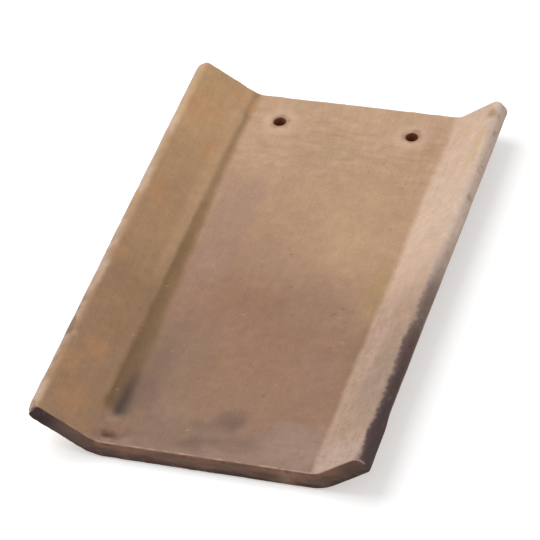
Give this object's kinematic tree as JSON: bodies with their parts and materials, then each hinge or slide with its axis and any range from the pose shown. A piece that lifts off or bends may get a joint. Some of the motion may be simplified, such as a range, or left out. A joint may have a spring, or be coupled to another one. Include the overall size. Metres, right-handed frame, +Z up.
{
  "type": "roman pan roof tile",
  "caption": "Flat-bottomed channel roof tile of fired clay with a flange flared up along each side, the left one wider than the right, and nail holes near the head, laid as the water-carrying under tile.",
  "frame": {"origin": "under the middle of the overall width and length, level with the flat underside", "axes": "+X across the tile, +Y along the run of the roof from the nose (lower end) to the head (nailed upper end), +Z up out of the pan"},
  "size_m": [0.267, 0.406, 0.045],
  "materials": {
    "clay": "unglazed fired clay, matt"
  },
  "bodies": {
    "root": {"pan_tile": "clay"}
  },
  "joints": []
}
